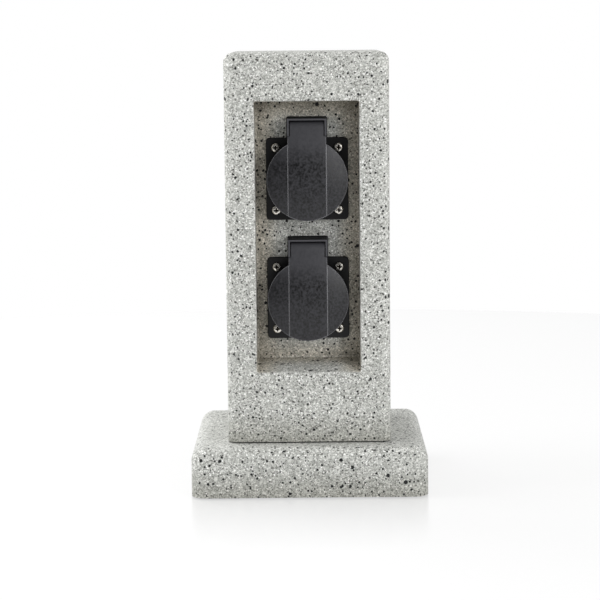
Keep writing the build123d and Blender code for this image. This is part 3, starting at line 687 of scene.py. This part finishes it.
class SocketPostLook(bpy.types.PropertyGroup):
    stone_colour: bpy.props.FloatVectorProperty(
        name="Stone ground",
        description="Colour of the stone between its grains",
        subtype="COLOR",
        default=linear("#aeafaa")[:3],
        min=0.0,
        max=1.0,
    )
    sand_grain: bpy.props.FloatProperty(
        name="Sand grain",
        description="Width of one grain of the sand in the stone",
        default=0.7 * MM,
        unit="LENGTH",
    )
    chip_raggedness: bpy.props.FloatProperty(
        name="Chip raggedness",
        description="How far the edges of the stone's grains wander",
        default=0.8 * MM,
        unit="LENGTH",
    )
    lid_colour: bpy.props.FloatVectorProperty(
        name="Lid grey",
        description="Colour of the lids",
        subtype="COLOR",
        default=linear("#222225")[:3],
        min=0.0,
        max=1.0,
    )
    lid_crown_radius: bpy.props.FloatProperty(
        name="Lid crown radius",
        description="Radius of the slight crown over which the light rolls on a lid's face",
        default=105 * MM,
        unit="LENGTH",
    )
    # The reach of the painted highlight at the top of a lid's tongue.
    top_light_length: bpy.props.FloatProperty(
        name="Tongue highlight length",
        description="How far down from its top a lid's tongue is painted lighter",
        default=26 * MM,
        unit="LENGTH",
    )
    hinge_slot_length: bpy.props.FloatProperty(
        name="Hinge slot length",
        description="How far down from a lid's top its edges stay dark beside the hinge slots",
        default=10 * MM,
        unit="LENGTH",
    )
    # The reach of the painted shade in the stone's corners.
    corner_shade_reach: bpy.props.FloatProperty(
        name="Corner shade reach",
        description="How far out of a corner the painted shade on the stone reaches",
        default=15 * MM,
        unit="LENGTH",
    )
    darkened_height: bpy.props.FloatProperty(
        name="Darkened height",
        description="How high the column and the base are darkened towards their foot",
        default=18 * MM,
        unit="LENGTH",
    )
    eroded_colour: bpy.props.FloatVectorProperty(
        name="Eroded grey",
        description="Colour of the hinge housing's eroded front",
        subtype="COLOR",
        default=linear("#454549")[:3],
        min=0.0,
        max=1.0,
    )
    eroded_depth: bpy.props.FloatProperty(
        name="Eroded depth",
        description="How far back from its front the hinge housing is eroded",
        default=1.5 * MM,
        unit="LENGTH",
    )
    polished_top: bpy.props.FloatProperty(
        name="Polished top",
        description="Height of the black strip at the top of the hinge housing's front",
        default=0.8 * MM,
        unit="LENGTH",
    )
    socket_colour: bpy.props.FloatVectorProperty(
        name="Socket black",
        description="Colour of the polished socket flanges",
        subtype="COLOR",
        default=linear("#0c0c0f")[:3],
        min=0.0,
        max=1.0,
    )


class SocketPostScrews(bpy.types.PropertyGroup):
    head_diameter: bpy.props.FloatProperty(
        name="Head diameter",
        description="Across a flange screw's head",
        default=5.4 * MM,
        unit="LENGTH",
    )
    head_height: bpy.props.FloatProperty(
        name="Head height",
        description="From the seat to the crown",
        default=1.9 * MM,
        unit="LENGTH",
    )
    shank_diameter: bpy.props.FloatProperty(
        name="Shank diameter", description="Over the thread", default=3.0 * MM, unit="LENGTH"
    )
    thread_pitch: bpy.props.FloatProperty(
        name="Thread pitch",
        description="From one crest to the next",
        default=0.5 * MM,
        unit="LENGTH",
    )
    cross_width: bpy.props.FloatProperty(
        name="Cross width",
        description="From tip to tip of the cross",
        default=3.6 * MM,
        unit="LENGTH",
    )
    cross_depth: bpy.props.FloatProperty(
        name="Cross depth", description="Depth of the cross", default=1.3 * MM, unit="LENGTH"
    )
    slot_width: bpy.props.FloatProperty(
        name="Slot width",
        description="Width of one arm of the cross",
        default=0.95 * MM,
        unit="LENGTH",
    )


class SocketPostStage(bpy.types.PropertyGroup):
    camera_place: bpy.props.FloatVectorProperty(
        name="Camera place",
        description="Where the camera stands",
        subtype="TRANSLATION",
        default=(0.00233, -1.3069, 0.27823),
    )
    camera_turn: bpy.props.FloatVectorProperty(
        name="Camera turn",
        description="How far the camera looks down and to the right, and how far it leans",
        subtype="EULER",
        default=(math.radians(7.264), math.radians(-0.334), math.radians(-0.574)),
    )
    lens: bpy.props.FloatProperty(
        name="Lens", description="Focal length in millimetres, on a 36 mm sensor", default=126.03
    )
    room_light: bpy.props.FloatProperty(
        name="Room light", description="Strength of the light from all round", default=0.64, min=0.0
    )
    lamp_light: bpy.props.FloatProperty(
        name="Lamp light", description="Strength of all the lamps together", default=1.0, min=0.0
    )


class SOCKETPOST_OT_stone(bpy.types.Operator):
    """Finishes the column and the base in cast stone"""

    bl_idname = "socketpost.stone"
    bl_label = "Stone Column and Base"

    def execute(self, context):
        for name in ("column_shell", "base_block"):
            cover(cast_stone(context.scene.socketpost_look, name), [name])
        return {"FINISHED"}


class SOCKETPOST_OT_underside(bpy.types.Operator):
    """Finishes the joint under the column, the cover plate, the feet and their screws"""

    bl_idname = "socketpost.underside"
    bl_label = "Joint and Underside"

    def execute(self, context):
        screws = ["base_cover_screws", "column_screws", "column_screw_washers"]
        cover(zinc_plate(), ["base_cover_plate", *screws])
        cover(moulded_rubber(), ["rubber_feet", "column_seal"])
        cover(turned_brass(), ["column_inserts"])
        return {"FINISHED"}


class SOCKETPOST_OT_sockets(bpy.types.Operator):
    """Finishes the socket bodies with their gaskets, inserts and rear caps"""

    bl_idname = "socketpost.sockets"
    bl_label = "Socket Bodies"

    def execute(self, context):
        for level in LEVELS:
            finish_of_level = socket_polyamide(context.scene.socketpost_look, level)
            cover(finish_of_level, [f"{level}_socket_body", f"{level}_rear_cap"])
        cover(moulded_rubber(), both_levels("socket_gasket"))
        cover(turned_brass(), both_levels("flange_inserts"))
        cover(zinc_plate(), both_levels("rear_cap_screws"))
        return {"FINISHED"}


class SOCKETPOST_OT_lids(bpy.types.Operator):
    """Finishes the hinged lids with their seals, pins and springs"""

    bl_idname = "socketpost.lids"
    bl_label = "Hinged Lids"

    def execute(self, context):
        for level in LEVELS:
            cover(lid_polyamide(context.scene.socketpost_look, level), [f"{level}_lid"])
        cover(moulded_rubber(), both_levels("lid_seal"))
        cover(blackened_pin(), both_levels("hinge_pin"))
        cover(spring_wire(), both_levels("lid_spring"))
        return {"FINISHED"}


class SOCKETPOST_OT_contacts(bpy.types.Operator):
    """Finishes the contacts, their screws and the carriers that hold them"""

    bl_idname = "socketpost.contacts"
    bl_label = "Contacts"

    def execute(self, context):
        cover(contact_strip(), both_levels("pin_contacts", "earth_strap"))
        cover(zinc_plate(), both_levels("contact_screws"))
        cover(pressed_melamine(), both_levels("contact_carrier"))
        return {"FINISHED"}


class SOCKETPOST_OT_wiring(bpy.types.Operator):
    """Finishes the terminal block and the wires inside the column"""

    bl_idname = "socketpost.wiring"
    bl_label = "Wiring"

    def execute(self, context):
        cover(pressed_melamine(), ["terminal_block"])
        cover(turned_brass(), ["terminal_clamps"])
        cover(zinc_plate(), ["terminal_clamp_screws", "terminal_block_screws"])
        brown = wire_sleeve("brown", ("#5b3a29", "#6a4432"))
        blue = wire_sleeve("blue", ("#2a5f9e", "#3470b4"))
        cover(brown, ["live_supply_wire", "live_link_wire"])
        cover(blue, ["neutral_supply_wire", "neutral_link_wire"])
        cover(earth_sleeve(), ["earth_supply_wire", "earth_link_wire"])
        return {"FINISHED"}


class SOCKETPOST_OT_gland(bpy.types.Operator):
    """Finishes the cable gland at the back of the column"""

    bl_idname = "socketpost.gland"
    bl_label = "Cable Gland"

    def execute(self, context):
        cover(gland_polyamide(), ["gland_body", "gland_locknut", "gland_cap_nut"])
        cover(moulded_rubber(), ["gland_washer", "gland_seal"])
        return {"FINISHED"}


class SOCKETPOST_OT_flange_screws(bpy.types.Operator):
    """Makes the threaded, cross-recessed flange screws in place of the plain ones"""

    bl_idname = "socketpost.flange_screws"
    bl_label = "Flange Screws"

    def execute(self, context):
        sizes = context.scene.socketpost_screws
        # The second finish is the painted shade in the crosses.
        metals = (nickel_plate(), paint_cross_shade())
        head = sizes.head_diameter / 2
        for level in LEVELS:
            name = f"{level}_flange_screws"
            low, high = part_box(name)
            four = bmesh.new()
            for x in (low.x + head, high.x - head):
                for z in (low.z + head, high.z - head):
                    turned = self.turned_blank(sizes, x, z, low.y, high.y)
                    blank = as_object(turned, "blank", metals)
                    punch = as_object(self.cross_punch(sizes, x, z, low.y), "punch", metals)
                    self.strike(blank, punch, four)
            piece = as_object(four, f"{level}_flange_screw_set", metals)
            for face in piece.data.polygons:
                face.use_smooth = face.material_index == 0
            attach(piece, "post")
            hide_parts(name)
        return {"FINISHED"}

    def turned_blank(self, sizes, x, z, crown, tip):
        """A pan head screw along Y with ridges for its thread, still without its cross."""
        head = sizes.head_diameter / 2
        shank = sizes.shank_diameter / 2
        pitch = sizes.thread_pitch
        seat = crown + sizes.head_height
        flat = 0.5 * head
        drop = 0.4 * sizes.head_height
        corner = 0.1 * MM
        outline = [(0.0, crown), (flat, crown)]
        # The crown is a quarter of an ellipse from its flat middle out to the rim.
        for turn in range(15, 105, 15):
            angle = math.radians(turn)
            radius = flat + (head - flat) * math.sin(angle)
            outline.append((radius, crown + drop * (1 - math.cos(angle))))
        outline += [(head, seat - corner), (head - corner, seat), (shank, seat)]
        root = shank - 0.6 * pitch
        crest = seat + pitch
        while crest + 2 * pitch < tip:
            outline += [(root, crest + pitch / 2), (shank, crest + pitch)]
            crest += pitch
        point = 0.6 * shank
        outline += [(point, tip), (0.0, tip)]
        mesh = bmesh.new()
        points = [mesh.verts.new((x + radius, depth, z)) for radius, depth in outline]
        edges = [mesh.edges.new(pair) for pair in zip(points, points[1:])]
        bmesh.ops.spin(
            mesh,
            geom=points + edges,
            cent=(x, 0, z),
            axis=(0, 1, 0),
            angle=math.tau,
            steps=40,
            use_merge=True,
        )
        return mesh

    def cross_punch(self, sizes, x, z, crown):
        """The punch that strikes the cross: two tapered bars that cross each other."""
        mesh = bmesh.new()
        overrun = 1.0 * MM
        depth = sizes.cross_depth + overrun
        bottom_share = 0.5
        # From the middle of a square one unit wide to its corner.
        corner = math.sqrt(0.5)
        for turn in (0, 90):
            bar = bmesh.ops.create_cone(
                mesh,
                cap_ends=True,
                segments=4,
                radius1=corner,
                radius2=bottom_share * corner,
                depth=depth,
                matrix=Matrix.Rotation(math.radians(45), 4, "Z"),
            )["verts"]
            bmesh.ops.scale(mesh, vec=(sizes.cross_width, sizes.slot_width, 1), verts=bar)
            spun = Matrix.Rotation(math.radians(turn), 3, "Z")
            bmesh.ops.rotate(mesh, cent=(0, 0, 0), matrix=spun, verts=bar)
        tipped = Matrix.Rotation(math.radians(-90), 3, "X")
        bmesh.ops.rotate(mesh, cent=(0, 0, 0), matrix=tipped, verts=mesh.verts)
        middle = crown + sizes.cross_depth - depth / 2
        bmesh.ops.translate(mesh, vec=(x, middle, z), verts=mesh.verts)
        # The punch's faces give the cross its painted shade.
        for face in mesh.faces:
            face.material_index = 1
        return mesh

    def strike(self, blank, punch, collected):
        """Cuts the punch out of the blank and adds the screw to the collected ones."""
        cut = blank.modifiers.new("cross", "BOOLEAN")
        cut.operation = "DIFFERENCE"
        cut.solver = "EXACT"
        cut.use_self = True
        cut.object = punch
        graph = bpy.context.evaluated_depsgraph_get()
        struck = bpy.data.meshes.new_from_object(blank.evaluated_get(graph), depsgraph=graph)
        collected.from_mesh(struck)
        for used in (blank, punch):
            bpy.data.objects.remove(used)
        bpy.data.meshes.remove(struck)


class SOCKETPOST_OT_stage(bpy.types.Operator):
    """Sets the floor, the background, the lamps and the camera"""

    bl_idname = "socketpost.stage"
    bl_label = "Studio"

    sheet_radius = 0.8
    sheet_glow = 0.95
    shadow_share = 0.25
    mirror_share = 0.27
    mirror_reach = 0.13
    dim_front = 0.12

    def execute(self, context):
        stage = context.scene.socketpost_stage
        context.scene.view_settings.view_transform = "Standard"
        self.lay_floor()
        self.light_room(context.scene, stage.room_light)
        self.hang_lamps(stage.lamp_light)
        self.place_camera(context.scene, stage)
        return {"FINISHED"}

    def looked_at(self, tree):
        """1 for what the camera, a gloss or a glass looks at, and 0 for light that only falls."""
        path = add(tree, "ShaderNodeLightPath")
        seen = path.outputs["Is Camera Ray"]
        for way in ("Is Glossy Ray", "Is Transmission Ray"):
            links = {0: seen, 1: path.outputs[way]}
            seen = add(tree, "ShaderNodeMath", links=links, operation="MAXIMUM").outputs["Value"]
        return seen

    def lay_floor(self):
        # White acrylic sheet: as white as the background, with a faint mirror image of the base.
        material = bpy.data.materials.new("white acrylic sheet")
        material.use_nodes = True
        tree = material.node_tree
        tree.nodes.clear()
        white = linear("#ffffff")
        # Most of its white is its own light, and the rest shows the post's shadow.
        matt = add(tree, "ShaderNodeBsdfDiffuse", values={"Color": white})
        backlit = add(
            tree, "ShaderNodeEmission", values={"Color": white, "Strength": self.sheet_glow}
        )
        sheet = add(
            tree,
            "ShaderNodeMixShader",
            values={"Fac": self.shadow_share},
            links={1: backlit.outputs["Emission"], 2: matt.outputs["BSDF"]},
        )
        mirror = add(tree, "ShaderNodeBsdfGlossy", values={"Color": white, "Roughness": 0.2})
        # The mirror image fades out in front of the base.
        place = add(tree, "ShaderNodeTexCoord").outputs["Object"]
        depth = add(tree, "ShaderNodeSeparateXYZ", links={"Vector": place}).outputs["Y"]
        share = add(
            tree,
            "ShaderNodeMapRange",
            links={"Value": depth},
            values={
                "From Min": cad_low.y - self.mirror_reach,
                "From Max": cad_low.y,
                "To Min": 0.0,
                "To Max": self.mirror_share,
            },
        )
        glossy = add(
            tree,
            "ShaderNodeMixShader",
            links={
                0: share.outputs["Result"],
                1: sheet.outputs["Shader"],
                2: mirror.outputs["BSDF"],
            },
        )
        # Light that only falls meets a plain pale floor.
        dull = add(tree, "ShaderNodeBsdfDiffuse", values={"Color": linear("#d8d8d8")})
        both = add(
            tree,
            "ShaderNodeMixShader",
            links={0: self.looked_at(tree), 1: dull.outputs["BSDF"], 2: glossy.outputs["Shader"]},
        )
        add(tree, "ShaderNodeOutputMaterial", links={"Surface": both.outputs["Shader"]})
        mesh = bmesh.new()
        bmesh.ops.create_circle(mesh, cap_ends=True, segments=96, radius=self.sheet_radius)
        floor = as_object(mesh, "floor", [material])

    def light_room(self, scene, room_light):
        """Makes the backdrop white, and in a gloss the room's front dim."""
        # Along Y, where a gloss sees the room turn from dim to white.
        dim_until, white_from = -0.3, 0.2
        world = bpy.data.worlds.new("studio")
        world.use_nodes = True
        tree = world.node_tree
        tree.nodes.clear()
        direction = add(tree, "ShaderNodeTexCoord").outputs["Generated"]
        backward = add(tree, "ShaderNodeSeparateXYZ", links={"Vector": direction}).outputs["Y"]
        reflected = add(
            tree,
            "ShaderNodeMapRange",
            links={"Value": backward},
            values={
                "From Min": dim_until,
                "From Max": white_from,
                "To Min": self.dim_front,
                "To Max": 1.0,
            },
        ).outputs["Result"]
        camera_ray = add(tree, "ShaderNodeLightPath").outputs["Is Camera Ray"]
        both = {0: camera_ray, 1: reflected}
        seen = add(tree, "ShaderNodeMath", links=both, operation="MAXIMUM").outputs["Value"]
        strength = add(
            tree,
            "ShaderNodeMix",
            data_type="FLOAT",
            links={0: self.looked_at(tree), 3: seen},
            values={2: room_light},
        ).outputs[0]
        white = linear("#ffffff")
        air = add(
            tree, "ShaderNodeBackground", values={"Color": white}, links={"Strength": strength}
        )
        add(tree, "ShaderNodeOutputWorld", links={"Surface": air.outputs["Background"]})
        scene.world = world

    def hang_lamps(self, strength):
        # Each soft box: place, width, height and watts. The middle of the post is what they face.
        boxes = {
            "left": ((-0.95, -0.05, 0.6), 0.6, 0.9, 7.2),
            "left back": ((-0.65, 0.7, 0.75), 0.6, 0.9, 4.6),
            "right": ((0.95, -0.35, 0.45), 0.6, 0.9, 1.6),
            "right front": ((0.72, -0.98, 0.45), 0.5, 0.6, 5.2),
        }
        middle = (cad_low + cad_high) / 2
        for name, (place, width, height, watts) in boxes.items():
            light = bpy.data.lights.new(f"{name} soft box", "AREA")
            light.shape = "RECTANGLE"
            light.size = width
            light.size_y = height
            light.energy = watts * strength
            lamp = bpy.data.objects.new(f"{name} soft box", light)
            lamp.location = place
            lamp.rotation_euler = (middle - Vector(place)).to_track_quat("-Z", "Y").to_euler()
            bpy.context.scene.collection.objects.link(lamp)

    def place_camera(self, scene, stage):
        camera = bpy.data.objects.new("camera", bpy.data.cameras.new("camera"))
        camera.data.lens = stage.lens
        down, right, lean = stage.camera_turn
        ahead = math.cos(down)
        forward = Vector((math.sin(right) * ahead, math.cos(right) * ahead, -math.sin(down)))
        side = Vector((math.cos(right), -math.sin(right), 0.0))
        up = side.cross(forward)
        across = math.cos(lean) * side + math.sin(lean) * up
        upright = math.cos(lean) * up - math.sin(lean) * side
        camera.rotation_euler = Matrix((across, upright, -forward)).transposed().to_euler()
        camera.location = stage.camera_place
        scene.collection.objects.link(camera)
        scene.camera = camera


class SOCKETPOST_PT_panel(bpy.types.Panel):
    """Lists the settings and the steps of the socket post"""

    bl_idname = "SOCKETPOST_PT_panel"
    bl_label = "Socket Post"
    bl_space_type = "VIEW_3D"
    bl_region_type = "UI"
    bl_category = "Socket Post"

    def draw(self, context):
        scene = context.scene
        for settings in (scene.socketpost_look, scene.socketpost_screws, scene.socketpost_stage):
            for name in type(settings).__annotations__:
                self.layout.prop(settings, name)
        for step in STEPS:
            self.layout.operator(step.bl_idname)


SETTINGS = {
    "socketpost_look": SocketPostLook,
    "socketpost_screws": SocketPostScrews,
    "socketpost_stage": SocketPostStage,
}
STEPS = (
    SOCKETPOST_OT_stone,
    SOCKETPOST_OT_underside,
    SOCKETPOST_OT_sockets,
    SOCKETPOST_OT_lids,
    SOCKETPOST_OT_contacts,
    SOCKETPOST_OT_wiring,
    SOCKETPOST_OT_gland,
    SOCKETPOST_OT_flange_screws,
    SOCKETPOST_OT_stage,
)


def register():
    for item in (*SETTINGS.values(), *STEPS, SOCKETPOST_PT_panel):
        bpy.utils.register_class(item)
    for name, group in SETTINGS.items():
        setattr(bpy.types.Scene, name, bpy.props.PointerProperty(type=group))


def unregister():
    for name in SETTINGS:
        delattr(bpy.types.Scene, name)
    for item in reversed((*SETTINGS.values(), *STEPS, SOCKETPOST_PT_panel)):
        bpy.utils.unregister_class(item)


def main():
    register()
    for step in STEPS:
        family, name = step.bl_idname.split(".")
        getattr(getattr(bpy.ops, family), name)()


if __name__ == "__main__":
    main()
